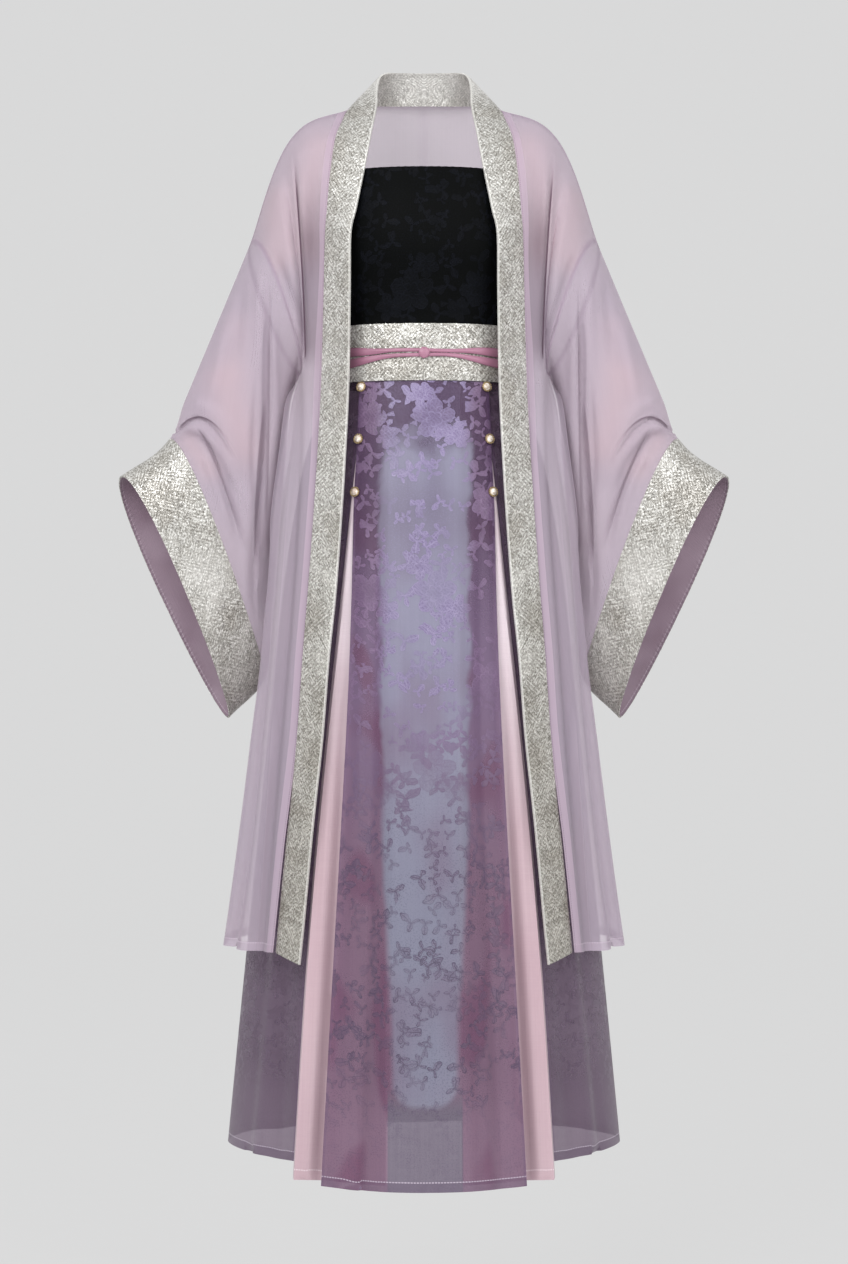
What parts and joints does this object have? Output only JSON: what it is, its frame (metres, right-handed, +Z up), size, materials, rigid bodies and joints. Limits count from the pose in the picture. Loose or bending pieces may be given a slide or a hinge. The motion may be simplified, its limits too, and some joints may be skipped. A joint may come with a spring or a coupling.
{
  "type": "hanfu set",
  "caption": "Worn hanfu set in its filled-out form: an open robe with bell sleeves over a tube top and a long pleated skirt with a waistband.",
  "frame": {"origin": "base of the neck on the centre plane, where the wearer's shoulders carry the robe", "axes": "+Z up, +X to the right as seen from the front, the front faces -Y"},
  "size_m": [0.7806, 0.4517, 1.3815],
  "materials": {
    "chiffon": "sheer lavender chiffon, soft",
    "silver_brocade": "silver-champagne glitter brocade",
    "facing": "mauve satin facing",
    "black_satin": "black jacquard satin, soft sheen",
    "tie_ribbon": "pink satin ribbon",
    "purple_jacquard": "sheer purple floral jacquard",
    "dark_jacquard": "dark purple floral jacquard",
    "pink_satin": "opaque pink satin",
    "lining": "blue-grey lining",
    "pearl": "pearl in a pale gold setting"
  },
  "bodies": {
    "root": {"robe_back_upper_left": "chiffon", "robe_back_upper_right": "chiffon", "robe_back_lower_left": "chiffon", "robe_back_lower_right": "chiffon", "robe_front_left": "chiffon", "robe_front_right": "chiffon", "sleeve_left": "chiffon", "sleeve_right": "chiffon", "cuff_band_left": "silver_brocade", "cuff_band_right": "silver_brocade", "cuff_facing_left": "facing", "cuff_facing_right": "facing", "collar_band_left": "silver_brocade", "collar_band_right": "silver_brocade", "top_front": "black_satin", "top_back": "black_satin", "waistband": "silver_brocade", "waist_tie_upper": "tie_ribbon", "waist_tie_lower": "tie_ribbon", "waist_tie_knot": "tie_ribbon", "skirt_front": "purple_jacquard", "skirt_side_left": "dark_jacquard", "skirt_side_right": "dark_jacquard", "skirt_back": "dark_jacquard", "pleat_left": "pink_satin", "pleat_right": "pink_satin", "skirt_lining": "lining", "button_left_1": "pearl", "button_right_1": "pearl", "button_left_2": "pearl", "button_right_2": "pearl", "button_left_3": "pearl", "button_right_3": "pearl"}
  },
  "joints": []
}
